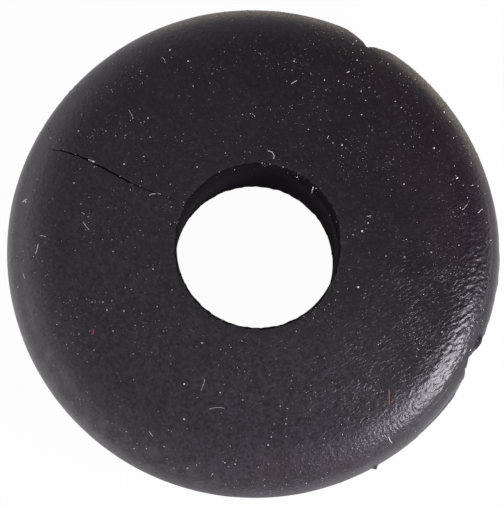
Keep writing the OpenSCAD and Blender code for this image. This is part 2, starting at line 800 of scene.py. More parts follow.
@dataclass(frozen=True)
class RubberFinish:
    """Old black rubber: near black, finely grained, dusty, and browned along its rim.

    Pairs are where a finish starts and where it is full, as radii, heights or levels of noise.
    Negative ones are measured from the ring's own radii and from its upper face. The torn colours
    are those of bare crumbling rubber in the bore and the tear; that bare rubber is also painted shade
    round the bore's mouth and in the tear's hollow, and the paler torn colour is painted light deep in
    the bore and on one side of it. The greying of some sides of the faces is painted light.
    """

    black: Colour = (0.0038, 0.0031, 0.0039)
    grey: Colour = (0.0343, 0.0291, 0.0353)
    warm: Colour = (0.0150, 0.0100, 0.0105)
    plum: Colour = (0.0034, 0.0003, 0.0036)
    brown: Colour = (0.205, 0.168, 0.114)
    rust: Colour = (0.210, 0.088, 0.046)
    film: Colour = (0.070, 0.066, 0.071)
    torn: Colour = (0.0070, 0.0060, 0.0071)
    torn_painted_light: Colour = (0.0270, 0.0235, 0.0274)

    # Painted light: sides towards which the faces are greyed, and a stretch near the lit shoulder where
    # less of it is painted.
    painted_light: tuple[Side, ...] = (
        Side(238.0, -10.0, 14.0),
        Side(303.0, 0.0, 13.0, 0.5),
        Side(170.0, 0.0, 12.0, 0.14),
    )
    less_painted_light: Sector = Sector(341.0, 36.0, 10.0)
    less_painted_light_share: float = 0.5
    clouds: Swing = Swing(0.45, 4.0, 3.0, 0.7)
    mottles: tuple[Swing, ...] = (Swing(1.3, 3.0, 43.0, 1.1), Swing(4.8, 3.0, 41.0, 4.3))
    grey_share: float = 0.5
    plum_side: Side = Side(38.0, 1.0, 12.0, 0.9)
    warm_patches: Patches = Patches(0.3, 3.0, 17.0, 0.45, 0.7, 0.35)
    film_patches: Patches = Patches(3.4, 4.0, 8.0, 0.50, 0.80, 0.24)
    stains: Patches = Patches(3.6, 5.0, 5.0, 0.36, 0.66, 0.65)
    stain_least: float = 0.35
    upper_side: Pair = (2.2, 4.4)
    browned: Sector = Sector(68.0, 60.0, 24.0)
    brown_r: Pair = (14.8, 15.5)
    brown_rim: float = 0.8
    brown_shoulder: float = 0.04
    bloom: Patches = Patches(1.5, 5.0, 23.0, 0.42, 0.64, 0.6)
    bloomed: Sector = Sector(226.0, 54.0, 24.0)
    bloom_r: Pair = (13.9, 15.1)
    rust_patches: Patches = Patches(1.3, 5.0, 19.0, 0.36, 0.62, 0.5)
    rusted: Sector = Sector(4.5, 10.0, 1.0)
    rust_r: Pair = (15.4, 15.8)

    specular: float = 0.5
    roughness: float = 0.46
    roughness_swing: Swing = Swing(1.2, 3.0, 11.0, 0.14)
    shoulder_gloss: float = 0.05
    polish_gloss: float = 0.07
    polished: Side = Side(-48.0, 1.0, 10.0)
    lively: Sector = Sector(342.0, 34.0, 14.0)
    shoulder_inset: Pair = (-0.3, -1.2)

    folds: Streaks = Streaks(4.6, 28.0, 2.0, 4.0, 0.4)
    fold_least: float = 0.08
    fold_gain: float = 1.15
    pebbles: Grain = Grain(5.0, 1.6, 6.0)
    pebble_most: float = 0.95
    pebble_loss: float = 0.5
    faint: float = 0.08
    fold_rise: float = 0.078
    flecks: Streaks = Streaks(5.8, 28.0, 2.0, 14.0)
    fleck_edge: Pair = (0.46, 0.74)
    fleck_height: float = 1.3
    fleck_least: float = 0.45
    fleck_patches: Patches = Patches(0.55, 3.0, 13.0, 0.35, 0.65, 0.9)
    worn: Sector = Sector(324.0, 64.0, 18.0)
    worn_side: Side = Side(-40.0, 3.5, 11.5)
    grain: Grain = Grain(4.6, 3.0, 15.0, 1.1)
    grain_rise: float = 0.034
    band_smoothing: float = 0.7
    band_edge: float = 0.12

    torn_roughness: float = 0.9
    torn_specular: float = 0.08
    # Painted light in the bore: the heights, side and radii where the paler torn colour comes in.
    painted_light_depth: Pair = (-0.6, -5.0)
    painted_light_side: Side = Side(12.0, 1.5, 4.0)
    painted_light_r: Pair = (9.0, 7.0)
    painted_light_wall: Pair = (-0.3, -1.6)
    # How far bare rubber reaches on to the face round the bore's mouth, partly as painted shade of the
    # lip.
    mouth_shade_reach: float = 0.15
    mouth_shade_extra: Side = Side(70.0, -1.5, 3.5, 0.11)
    mouth_whole: Sector = Sector(347.0, 36.0, 15.0)
    mouth_less: float = 0.1
    mouth_ragged: Swing = Swing(2.4, 3.0, 27.0, 0.3)
    mouth_edge: float = 0.07

    def build(self, ring: "SealingRing") -> bpy.types.Material:
        """Makes the material.

        Args:
            ring: The ring's sizes.

        Returns:
            The material for a ring of those sizes.
        """
        material, pen = shader_pen("old_rubber")
        where = pen.add("ShaderNodeTexCoord", None, "Object")
        place = Place.of(pen, where, ring.seam)
        inner, outer = self.shoulder_inset
        shoulder = pen.rise(place.radius, ring.flat_r + inner, ring.wall_r + outer)
        polish = self.polished.at(place)
        rubber = {
            "Base Color": self._colour(place, shoulder),
            "Roughness": self._roughness(place, shoulder, polish),
            "Normal": self._relief(place, ring, shoulder, polish),
            "Specular IOR Level": self.specular,
        }
        # Bare crumbling rubber, whose colour also carries painted light deep in the bore.
        crumbly_with_painted_light_and_shade = {
            "Base Color": self._torn_colour_and_painted_light(place, ring.thickness),
            "Roughness": self.torn_roughness,
            "Specular IOR Level": self.torn_specular,
        }
        skin, bare = (pen.add("ShaderNodeBsdfPrincipled", values) for values in (rubber, crumbly_with_painted_light_and_shade))
        from_bore = Place.of(pen, where, ring.seam, ring.bore_shift)
        # Bare rubber in the bore, and painted shade round its mouth and in the tear's hollow.
        share = pen.most(self._mouth(place, from_bore, ring.bore_r), pen.painted(ring.torn_and_shade_name))
        surface = pen.add("ShaderNodeMixShader", {0: share, 1: skin, 2: bare})
        pen.add("ShaderNodeOutputMaterial", {"Surface": surface})
        return material

    def _colour(self, place: Place, shoulder: Sock) -> Sock:
        """Mixes the black with painted light that greys some sides, mottling, plum and warm tints, dust,
        bloom, brown and rust.

        Args:
            place: The place on the ring.
            shoulder: How far out on the shoulder it is.

        Returns:
            The colour.
        """
        pen = place.pen
        # Painted light: greyer towards the lower left, the bottom and the left, and less of it near
        # bearing 341.
        painted_light: Value = 0.0
        for side in self.painted_light:
            painted_light = painted_light + side.at(place)
        painted_light = painted_light * (1.0 - self.less_painted_light_share * self.less_painted_light.at(place))
        tone_and_painted_light = painted_light + self.clouds.at(place)
        for mottle in self.mottles:
            tone_and_painted_light = tone_and_painted_light + mottle.at(place) * painted_light
        colour = pen.mixed(pen.clamp(tone_and_painted_light * self.grey_share), self.black, self.grey)
        colour = pen.mixed(self.plum_side.at(place), colour, self.plum)
        colour = pen.mixed(self.warm_patches.at(place), colour, self.warm)
        colour = pen.mixed(self.film_patches.at(place), colour, self.film)
        bloom = self.bloom.at(place) * self.bloomed.at(place) * pen.rise(place.radius, *self.bloom_r)
        colour = pen.mixed(bloom, colour, self.film)
        upper = pen.rise(place.height, *self.upper_side)
        stain = self.stain_least + self.stains.at(place)
        rim = self.brown_rim * pen.rise(place.radius, *self.brown_r) * upper
        browned = self.browned.at(place) * stain * (self.brown_shoulder * shoulder + rim)
        colour = pen.mixed(browned, colour, self.brown)
        rusted = self.rust_patches.at(place) * pen.rise(place.radius, *self.rust_r)
        return pen.mixed(rusted * self.rusted.at(place) * stain * upper, colour, self.rust)

    def _roughness(self, place: Place, shoulder: Sock, polish: Sock) -> Sock:
        """Makes the flat faces matt and the handled shoulders smoother.

        Args:
            place: The place on the ring.
            shoulder: How far out on the shoulder it is.
            polish: How polished that side is.

        Returns:
            The roughness.
        """
        handled = self.shoulder_gloss + self.polish_gloss * polish * self.lively.at(place)
        return self.roughness - handled * shoulder + self.roughness_swing.at(place)

    def _relief(self, place: Place, ring: "SealingRing", shoulder: Sock, polish: Sock) -> Sock:
        """Raises folds and pebbles on the polished shoulder, flecks beside it and fine grain elsewhere.

        Args:
            place: The place on the ring.
            ring: The ring's sizes.
            shoulder: How far out on the shoulder the place is.
            polish: How polished that side is.

        Returns:
            The surface's normal.
        """
        pen = place.pen
        beyond = pen.rise(place.radius, ring.band_r - self.band_edge, ring.band_r + self.band_edge)
        bare = 1.0 - self.band_smoothing * beyond * ring.band.at(place)
        lively = self.lively.at(place)
        folds = self.folds.at(place) * (self.fold_least + self.fold_gain * lively)
        pebbles = self.pebbles.at(place) * (self.pebble_most - self.pebble_loss * lively)
        clear = 1.0 - self.faint
        coarse = (folds + pebbles) * (self.faint + clear * shoulder) * (self.faint + clear * polish)
        fold_bump = {"Height": coarse * bare, "Distance": self.fold_rise * MM}
        folded = pen.add("ShaderNodeBump", fold_bump)
        flecks = pen.rise(self.flecks.at(place), *self.fleck_edge) * self.fleck_height
        flecks = flecks * (self.fleck_least + self.fleck_patches.at(place))
        flecks = flecks * self.worn.at(place) * self.worn_side.at(place)
        fine = (flecks + self.grain.at(place)) * (1.0 - clear * shoulder * polish) * bare
        fine_bump = {"Height": fine, "Distance": self.grain_rise * MM, "Normal": folded}
        return pen.add("ShaderNodeBump", fine_bump)

    def _torn_colour_and_painted_light(self, place: Place, top: float) -> Sock:
        """Makes torn rubber dark at the bore's mouth, with painted light that makes it paler deep down
        and on one side.

        Args:
            place: The place on the ring.
            top: Level of the upper face.

        Returns:
            The colour.
        """
        pen = place.pen
        # Painted light: the bore wall is paler deep down and on one side, and stays dark at the mouth.
        painted_light_deep, painted_light_aside = (
            pen.rise(place.height, top + first, top + last)
            for first, last in (self.painted_light_depth, self.painted_light_wall)
        )
        painted_light_aside = painted_light_aside * self.painted_light_side.at(place) * pen.rise(place.radius, *self.painted_light_r)
        return pen.mixed(pen.most(painted_light_deep, painted_light_aside), self.torn, self.torn_painted_light)

    def _mouth(self, place: Place, from_bore: Place, bore_r: float) -> Sock:
        """Gives the share of bare crumbling rubber in the bore and round its mouth, where the ring on the
        flat face is also painted shade of the lip.

        Args:
            place: The place on the ring.
            from_bore: The same place, measured from the bore's axis.
            bore_r: The bore's radius.

        Returns:
            The share.
        """
        # Painted shade: the bare rubber reaches on to the flat face round the mouth, furthest towards
        # bearing 70.
        reach = bore_r + self.mouth_shade_reach - self.mouth_less * self.mouth_whole.at(place)
        reach = reach + self.mouth_shade_extra.at(place)
        beyond = from_bore.radius + self.mouth_ragged.at(place) - reach
        return place.pen.rise(beyond, self.mouth_edge, 0.0)


@dataclass(frozen=True)
class PlainFinish:
    """A plain matt finish for dust and lint, lighter or darker from one grain to the next."""

    name: str
    colour: Colour
    dull: Colour
    roughness: float = 0.8
    flecks: Grain = Grain(14.0, 2.0, 2.0, 0.6)
    fleck_least: float = 0.7

    def build(self) -> bpy.types.Material:
        """Makes the material."""
        material, pen = shader_pen(self.name)
        place = Place.of(pen, pen.add("ShaderNodeTexCoord", None, "Object"), 0.0)
        light = pen.painted(SHADE) * (self.fleck_least + self.flecks.at(place))
        colour = pen.mixed(pen.clamp(light), self.dull, self.colour)
        values = {"Base Color": colour, "Roughness": self.roughness}
        surface = pen.add("ShaderNodeBsdfPrincipled", values)
        pen.add("ShaderNodeOutputMaterial", {"Surface": surface})
        return material


@dataclass(frozen=True)
class FineZone:
    """A bearing round which the columns of the ring's mesh crowd together.

    share is how much of the usual spacing is taken away at the bearing itself.
    """

    bearing: float
    width: float
    share: float


@dataclass(frozen=True)
class ColumnSpread:
    """Spaces the mesh columns round the ring, closer together at the damaged places."""

    seam: float
    zones: tuple[FineZone, ...]
    passes: int = 60

    def _lag(self, turn: Value, centres: list[float], tanh: Callable[[Value], Value]) -> Value:
        """Adds up how far the bearing lags behind an even turn.

        Args:
            turn: The even turn.
            centres: The even turns at which the zones' bearings come up.
            tanh: The hyperbolic tangent, of numbers or of sockets.

        Returns:
            The lag in radians.
        """
        lag: Value = 0.0
        for zone, centre in zip(self.zones, centres):
            width = math.radians(zone.width)
            lag = zone.share * width * tanh((turn - centre) / width) + lag
        return lag

    def _centres(self) -> list[float]:
        """Finds the even turn at which each zone's bearing comes up."""
        bearings = [math.radians(zone.bearing) for zone in self.zones]
        centres = bearings
        for _ in range(self.passes):
            centres = [b + self._lag(c, centres, math.tanh) for b, c in zip(bearings, centres)]
        return centres

    def bearing(self, pen: Pen, fraction: Sock) -> Sock:
        """Gives the bearing of a column.

        Args:
            pen: What draws in the tree.
            fraction: The column's place, from 0 at the seam to 1 at the seam again.

        Returns:
            The bearing, in radians.
        """
        centres = self._centres()
        start = math.radians(self.seam)
        ends = []
        for target in (start, start + math.tau):
            turn = target
            for _ in range(self.passes):
                turn = target + self._lag(turn, centres, math.tanh)
            ends.append(turn)
        turn = ends[0] + fraction * (ends[1] - ends[0])
        return turn - self._lag(turn, centres, pen.tanh)


@dataclass(frozen=True)
class Crack:
    """The long crack across the upper face, from the shoulder nearly to the bore.

    sides is how far below the upper face the cut fades out, pinches are where it nearly closes, and
    along_pinch and along_ends are shares of the way from its outer end.
    """

    outer_r: float = 14.7
    inner_r: float = 5.9
    outer_bearing: float = 155.5
    inner_bearing: float = 150.0
    sway: float = 0.2
    sway_fade: float = 0.5
    gape: float = 0.10
    depth: float = 1.2
    tip_share: float = 0.2
    ragged: Swing = Swing(2.2, 3.0, 21.0, 0.07)
    widths: Grain = Grain(0.9, 2.0, 22.0, 0.9)
    width_least: float = 0.55
    pinches: Patches = Patches(1.4, 1.0, 23.0, 0.4, 0.55)
    along_pinch: Pair = (0.5, 0.8)
    pinched_gape: float = 0.25
    pinched_depth: float = 0.3
    along_ends: Pair = (0.05, 0.97)
    sides: Pair = (1.6, 1.2)

    @property
    def middle_bearing(self) -> float:
        """Bearing of the crack's middle."""
        return (self.outer_bearing + self.inner_bearing) / 2

    def _along(self, pen: Pen, radius: Sock) -> Sock:
        """Gives the share of the crack that lies outside a radius."""
        return pen.clamp((self.outer_r - radius) / (self.outer_r - self.inner_r))

    def bearing_at(self, pen: Pen, radius: Sock) -> Sock:
        """Gives the crack's bearing at a radius.

        Args:
            pen: What draws in the tree.
            radius: The radius in millimetres.

        Returns:
            The bearing in radians.
        """
        ends = []
        for r, bearing in ((self.outer_r, self.outer_bearing), (self.inner_r, self.inner_bearing)):
            turn = math.radians(bearing)
            ends.append(Vector((r * math.cos(turn), r * math.sin(turn))))
        run = ends[1] - ends[0]
        across = Vector((-run.y, run.x)).normalized()
        along = self._along(pen, radius)
        sway = pen.math("SINE", along * math.tau) * (1.0 - self.sway_fade * along) * self.sway
        x = ends[0].x + run.x * along + across.x * sway
        y = ends[0].y + run.y * along + across.y * sway
        return pen.math("ARCTAN2", y, x)

    def groove(self, place: Place, gape: Sock, depth: Sock, top: float) -> Sock:
        """Gives how deep the crack is at a place.

        Args:
            place: The place on the ring.
            gape: The widest gape.
            depth: The depth at the middle of the gape.
            top: Level of the upper face.

        Returns:
            The depth in millimetres, and 0 beside the crack.
        """
        pen = place.pen
        along = self._along(pen, place.radius)
        turn = place.bearing - self.bearing_at(pen, place.radius)
        aside = turn * place.radius + self.ragged.at(place)
        swell = self.tip_share + (1.0 - self.tip_share) * pen.math("SINE", along * math.pi)
        pinch = 1.0 - pen.rise(along, *self.along_pinch) * self.pinches.at(place)
        half = gape * 0.5 * swell * (self.width_least + self.widths.at(place))
        half = half * (self.pinched_gape + (1.0 - self.pinched_gape) * pinch)
        share = pen.math("SQRT", pen.most(1.0 - (aside / half) ** 2.0, 0.0))
        first, last = self.along_ends
        ends = pen.rise(along, 0.0, first) * pen.rise(along, 1.0, last)
        upper = pen.rise(place.height, top - self.sides[0], top - self.sides[1])
        shallow = self.pinched_depth + (1.0 - self.pinched_depth) * pinch
        return share * depth * ends * upper * shallow


@dataclass(frozen=True)
class Bite:
    """A place where the rim is torn, with its length on each side of its deepest point.

    foot is the height at which the tear starts, and it has its whole depth slope above that.
    """

    name: str
    bearing: float
    depth: float
    run_left: float
    run_right: float
    foot: float = -1.0
    slope: float = 1.0
    curve: float = 0.8
    ragged: float = 0.2

    def loss(self, place: Place, depth: Sock, rim_r: float) -> Sock:
        """Gives how much of the rim's reach is torn away at a place.

        Args:
            place: The place on the ring.
            depth: The depth at the deepest point.
            rim_r: The rim's radius.

        Returns:
            The loss in millimetres.
        """
        pen = place.pen
        ragged = Swing(2.5, 3.0, self.bearing, self.ragged).at(place)
        aside = (place.bearing - math.radians(self.bearing)) * rim_r + ragged
        share = pen.clamp(1.0 - pen.most(aside / self.run_left, aside / -self.run_right))
        high = pen.rise(place.height, self.foot, self.foot + self.slope)
        return share**self.curve * depth * high


def line(start: Pair, end: Pair, steps: float) -> Iterator[Pair]:
    """Walks a straight stretch of a section, leaving out its last point.

    Args:
        start: The first point.
        end: The point that it leads to.
        steps: How many steps it takes.

    Yields:
        Each point.
    """
    count = max(1, round(steps))
    for i in range(count):
        share = i / count
        yield start[0] + (end[0] - start[0]) * share, start[1] + (end[1] - start[1]) * share


def arc(centre: Pair, reach: Pair, first: float, last: float, steps: float) -> Iterator[Pair]:
    """Walks a round stretch of a section, leaving out its last point.

    Args:
        centre: The middle of the arc.
        reach: Its reach outwards and upwards.
        first: Where it starts, in degrees.
        last: Where it ends, in degrees.
        steps: How many steps it takes.

    Yields:
        Each point.
    """
    count = max(1, round(steps))
    for i in range(count):
        turn = math.radians(first + (last - first) * i / count)
        yield centre[0] + reach[0] * math.cos(turn), centre[1] + reach[1] * math.sin(turn)


@dataclass
class SealingRing:
    """The moulded ring, with its sizes taken from the frame where that gives them.

    Steps count the mesh's points along each stretch of the upper half of the section. bore_shift
    is X and Y, and the other pairs are where a change starts and where it is complete.
    """

    outer_r: float
    bore_r: float
    thickness: float
    bore_shift: Pair
    shoulder_r: float = 2.7
    shoulder_w: float = 3.4
    mouth_r: float = 0.2
    bead_h: float = 0.15
    bead_r: float = 0.6
    crease_r: float = 0.3
    shift_end_r: float = 13.0

    columns: int = 590
    seam: float = 20.0
    weld: float = 0.0005
    bore_steps: int = 8
    mouth_steps: int = 8
    flat_steps: int = 36
    shoulder_steps: int = 44
    wall_steps: int = 4
    crease_steps: int = 4
    bead_steps: int = 8
    under_detail: float = 0.5

    crack: Crack = Crack()
    crack_lean: Pair = (28.0, 2.5)
    notch: Bite = Bite("Notch Depth", 61.0, 0.1, 0.3, 0.4)
    tear: Bite = Bite("Tear Depth", 333.0, 0.6, 1.3, 1.3)
    wear: tuple[Bite, ...] = (
        Bite("Notch Slope", 61.2, 0.5, 1.7, 1.7, curve=1.3),
        Bite("Notch Wear", 61.5, 0.50, 4.5, 4.5, curve=1.2),
        Bite("Tear Wear", 341.5, 0.2, 2.6, 2.0, curve=1.3),
        Bite("Tear Lip", 337.0, 0.25, 0.8, 0.6, 3.2, 1.0),
        Bite("Nick Depth", 327.6, 0.17, 1.1, 1.3, curve=1.2),
    )
    chips: Patches = Patches(0.9, 4.0, 61.0, 0.42, 0.75, 0.09)
    rags: Patches = Patches(1.7, 3.0, 64.0, 0.5, 0.62, 0.11)
    ragged: Sector = Sector(316.0, 30.0, 14.0)
    # Bare torn rubber and painted shade: the dark wedge and the deepest torn rim of the tear.
    scar_shade: Sector = Sector(336.9, 2.1, 1.3)
    scar_shade_depth: Pair = (0.7, 0.45)
    scar_shade_foot: Pair = (-1.2, -0.4)
    ripped_shade: Sector = Sector(333.0, 7.0, 4.0)
    ripped_shade_loss: Pair = (0.12, 0.24)
    torn_and_shade_name: str = "torn"

    levelled: Sector = Sector(238.0, 88.0, 68.0)
    level_half: float = 1.127
    level_edge: Pair = (1.8, 1.3)
    level_inset: Pair = (0.8, 0.5)
    split_length: float = 1.2
    split_gape: float = 0.06
    split_depth: float = 0.14
    split_ragged: Swing = Swing(2.0, 2.0, 51.0, 0.25)
    split_tip: float = 0.15
    split_foot: Pair = (0.2, 0.6)
    whisker_bearing: float = 299.0
    whisker_h: float = 0.22
    whisker_half: float = 0.25
    whisker_thin: Pair = (0.3, 0.05)

    unevenness: float = 0.07
    wave_scale: float = 0.16
    ripple_scale: float = 1.1
    ripple_share: float = 0.35
    underside: Pair = (1.5, 0.3)
    seed: float = 4.0
    crumble: float = 0.22
    crumbs: Grain = Grain(2.2, 4.0, 31.0)
    crumb_least: float = 0.72
    crumb_zone: Pair = (0.42, 0.05)
    crumb_inset: float = 0.1
    lump_bearing: float = 52.0
    lump_half: float = 0.07
    lump_h: float = 0.1
    lump_foot: Pair = (0.6, 0.2)

    wrinkled: Sector = Sector(322.0, 45.0, 15.0)
    wrinkles: Streaks = Streaks(2.2, 34.0, 2.2, 41.0)
    wrinkle_h: float = 0.036
    wrinkle_lively: Sector = Sector(338.0, 36.0, 14.0)
    wrinkle_inner: Pair = (-1.5, 0.4)
    wrinkle_outer: Pair = (0.05, -0.15)
    band: Sector = Sector(328.0, 60.0, 30.0)
    band_r: float = 15.2
    crease_depth: float = 0.03
    crease_half: float = 0.16
    crease_foot: float = 0.5

    @classmethod
    def from_frame(cls) -> "SealingRing":
        """Takes the outer radius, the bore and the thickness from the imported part."""
        low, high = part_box(NODE)
        mounts = {mount["name"]: mount for mount in frame["record"]["mounts"]}
        return cls(
            outer_r=(high.y - low.y) / 2 * PER_M,
            bore_r=mounts["bore"]["dims"]["r_mm"],
            thickness=(high.z - low.z) * PER_M,
            bore_shift=tuple(c * PER_M for c in mounts["bore"]["pos_m"][:2]),
        )

    @property
    def wall_r(self) -> float:
        """Radius of the side wall under the bead."""
        return self.outer_r - self.bead_h

    @property
    def flat_r(self) -> float:
        """Radius at which the flat faces end and the shoulders start."""
        return self.wall_r - self.shoulder_w

    @property
    def mid(self) -> float:
        """Level of the bead's middle."""
        return self.thickness / 2

    @property
    def middle(self) -> Vector:
        """The ring's middle."""
        return Vector((0.0, 0.0, self.mid))

    def _half_section(self, detail: float) -> Iterator[Pair]:
        """Walks the upper half of the section, from the bore's middle to the bead's edge.

        Args:
            detail: Share of the full number of steps.

        Yields:
            Radius and height of each point.
        """
        top, mid, bore_r, wall_r, flat_r = self.thickness, self.mid, self.bore_r, self.wall_r, self.flat_r
        crease, mouth = self.crease_r, self.mouth_r
        crest_r = self.outer_r - self.bead_r
        hollow_r = wall_r + crease
        hollow_rise = math.sqrt((self.bead_r + crease) ** 2 - (hollow_r - crest_r) ** 2)
        meet = math.degrees(math.atan2(hollow_rise, hollow_r - crest_r))
        shoulder = (self.shoulder_w, self.shoulder_r)
        shoulder_foot = top - self.shoulder_r
        yield from line((bore_r, mid), (bore_r, top - mouth), self.bore_steps * detail)
        yield from arc((bore_r + mouth, top - mouth), (mouth, mouth), 180, 90, self.mouth_steps * detail)
        yield from line((bore_r + mouth, top), (flat_r, top), self.flat_steps * detail)
        yield from arc((flat_r, shoulder_foot), shoulder, 90, 0, self.shoulder_steps * detail)
        yield from line((wall_r, shoulder_foot), (wall_r, mid + hollow_rise), self.wall_steps * detail)
        hollow = (hollow_r, mid + hollow_rise)
        yield from arc(hollow, (crease, crease), 180, 180 + meet, self.crease_steps * detail)
        yield from arc((crest_r, mid), (self.bead_r, self.bead_r), meet, 0, self.bead_steps * detail)

    def section(self) -> bpy.types.Mesh:
        """Draws the closed section as a chain of points, finer on its upper half."""
        upper = list(self._half_section(1.0))
        lower = [(r, self.thickness - z) for r, z in self._half_section(self.under_detail)]
        chain = upper + [(self.outer_r, self.mid)] + lower[:0:-1]
        mesh = bpy.data.meshes.new("ring_section")
        mesh.from_pydata([(r * MM, 0.0, z * MM) for r, z in chain], [], [])
        return mesh

    def spread(self) -> ColumnSpread:
        """Crowds the columns at the crack, the torn places, the whisker and the wrinkles."""
        zones = (
            FineZone(self.notch.bearing, 3.0, 0.75),
            FineZone(self.crack.middle_bearing, 3.4, 0.9),
            FineZone(self.whisker_bearing, 2.0, 0.5),
            FineZone(self.wrinkled.bearing, 28.0, 0.35),
            FineZone(self.tear.bearing, 3.0, 0.6),
        )
        return ColumnSpread(self.seam, zones)

    def build(self, finish: RubberFinish) -> bpy.types.Object:
        """Revolves the section, weathers it and dresses it.

        Args:
            finish: The rubber.

        Returns:
            The finished piece.
        """
        tool = GeometryTool("worn_ring")
        tool.end(self._weather(tool, self._revolve(tool)), finish.build(self))
        piece = tool.make("worn_sealing_ring", self.section())
        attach(piece, BODY)
        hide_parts(NODE)
        return piece

    def _revolve(self, tool: GeometryTool) -> Sock:
        """Turns the section into a ring.

        Args:
            tool: The tree, whose base is the section.

        Returns:
            A closed ring whose columns run along the crack.
        """
        pen = tool.pen
        columns = tool.input("Columns", InputKind.COUNT, self.columns)
        rows = pen.add("GeometryNodeAttributeDomainSize", {"Geometry": tool.base}, "Point Count")
        sheet = {"Size X": 1.0, "Size Y": 1.0, "Vertices X": columns + 1.0, "Vertices Y": rows + 1.0}
        grid = pen.add("GeometryNodeMeshGrid", sheet)
        place = pen.add("GeometryNodeInputPosition")
        across = pen.parts(place)
        row = pen.math("MODULO", pen.math("ROUND", (across["Y"] + 0.5) * rows), rows)
        look = {"Geometry": tool.base, "Value": place, "Index": row}
        radius = pen.parts(pen.add("GeometryNodeSampleIndex", look, data_type="FLOAT_VECTOR"))
        even = self.spread().bearing(pen, across + 0.5)
        middle = math.radians(self.crack.middle_bearing)
        near = pen.rise(abs(even - middle), *(math.radians(lean) for lean in self.crack_lean))
        bearing = even + near * (self.crack.bearing_at(pen, radius * PER_M) - middle)
        east, north = (pen.math(way, bearing) * radius for way in ("COSINE", "SINE"))
        turned = {"Geometry": grid, "Position": pen.vector(east, north, radius["Z"])}
        ring = pen.add("GeometryNodeSetPosition", turned)
        joint = {"Geometry": ring, "Distance": self.weld * MM}
        return pen.add("GeometryNodeFlipFaces", {"Mesh": pen.add("GeometryNodeMergeByDistance", joint)})

    def _weather(self, tool: GeometryTool, ring: Sock) -> Sock:
        """Moves the surface: unevenness, crumbling mouths, wrinkles, crack, split and torn rim.

        Args:
            tool: The tree.
            ring: The ring as it was moulded.

        Returns:
            The worn ring.
        """
        pen = tool.pen
        place = Place.of(pen, pen.add("GeometryNodeInputPosition"), self.seam)
        normal = pen.add("GeometryNodeInputNormal")
        lift = self._unevenness(tool, place) + self._mouth(tool, place)
        lift = lift + self._wrinkles(tool, place) - self._split(tool, place)
        gape = tool.number("Crack Gape", self.crack.gape)
        depth = tool.number("Crack Depth", self.crack.depth)
        sunk = self.crack.groove(place, gape, depth, self.thickness)
        lost = self._torn(tool, place)
        out = (self._whisker(tool, place) + self._levelled(tool, place) - lost) / place.radius
        plan = pen.vectors("MULTIPLY", place.at, (1, 1, 0))
        moves = pen.vectors("ADD", pen.scaled(normal, lift), pen.scaled(plan, out))
        inner = pen.rise(place.radius, self.shift_end_r, self.bore_r)
        aside = pen.vector(inner * self.bore_shift[0], inner * self.bore_shift[1], -sunk)
        # Keeps where bare torn rubber and painted shade go.
        torn_and_shade_marked = pen.stored(ring, self.torn_and_shade_name, self._scar_and_shade(place, lost), "POINT")
        offset = pen.scaled(pen.vectors("ADD", moves, aside), MM)
        return pen.add("GeometryNodeSetPosition", {"Geometry": torn_and_shade_marked, "Offset": offset})

    def _unevenness(self, tool: GeometryTool, place: Place) -> Sock:
        """Moves the surface by a slow wave and a short ripple, and only inwards under the ring.

        Args:
            tool: The tree.
            place: The place on the ring.

        Returns:
            How far the surface moves outwards.
        """
        seed = tool.number("Seed", self.seed)
        height = tool.number("Unevenness", self.unevenness)
        wave = place.noise(self.wave_scale, 1.0, seed) * (1.0 - self.ripple_share)
        ripple = place.noise(self.ripple_scale, 2.0, seed + 1.0) * self.ripple_share
        under = 0.5 * place.pen.rise(place.height, *self.underside)
        return (wave + ripple - 0.5 - under) * height

    def _mouth(self, tool: GeometryTool, place: Place) -> Sock:
        """Crumbles the edges where the bore meets the flat faces.

        Args:
            tool: The tree.
            place: The place on the ring.

        Returns:
            How far the surface moves outwards.
        """
        pen = place.pen
        height = tool.number("Mouth Crumble", self.crumble)
        drop = abs(place.height - self.mid) - (self.mid - self.crumb_inset)
        aside = place.radius - (self.bore_r + self.crumb_inset)
        near = pen.rise(pen.math("SQRT", drop * drop + aside * aside), *self.crumb_zone)
        crumbled = pen.math("MINIMUM", self.crumbs.at(place) - self.crumb_least, 0.0)
        lump = pen.rise(abs(place.bearing - math.radians(self.lump_bearing)), self.lump_half, 0.0)
        upper = pen.rise(place.height, *(self.thickness - foot for foot in self.lump_foot))
        return near * (crumbled * height + lump * upper * self.lump_h)

    def _wrinkles(self, tool: GeometryTool, place: Place) -> Sock:
        """Wrinkles the shoulder on one side into short slanting folds inside a smooth band.

        Args:
            tool: The tree.
            place: The place on the ring.

        Returns:
            How far the surface moves outwards.
        """
        pen = place.pen
        height = tool.number("Wrinkle Height", self.wrinkle_h)
        crease = tool.number("Crease Depth", self.crease_depth)
        inside = pen.rise(place.radius, *(self.flat_r + r for r in self.wrinkle_inner))
        folded = inside * pen.rise(place.radius, *(self.band_r + r for r in self.wrinkle_outer))
        folds = (self.wrinkles.at(place) - 0.5) * height * self.wrinkle_lively.at(place)
        upper = pen.rise(place.height, self.mid, self.mid + self.crease_foot)
        groove = pen.rise(abs(place.radius - self.band_r), self.crease_half, 0.0) * upper
        return self.wrinkled.at(place) * (folded * folds - groove * crease)

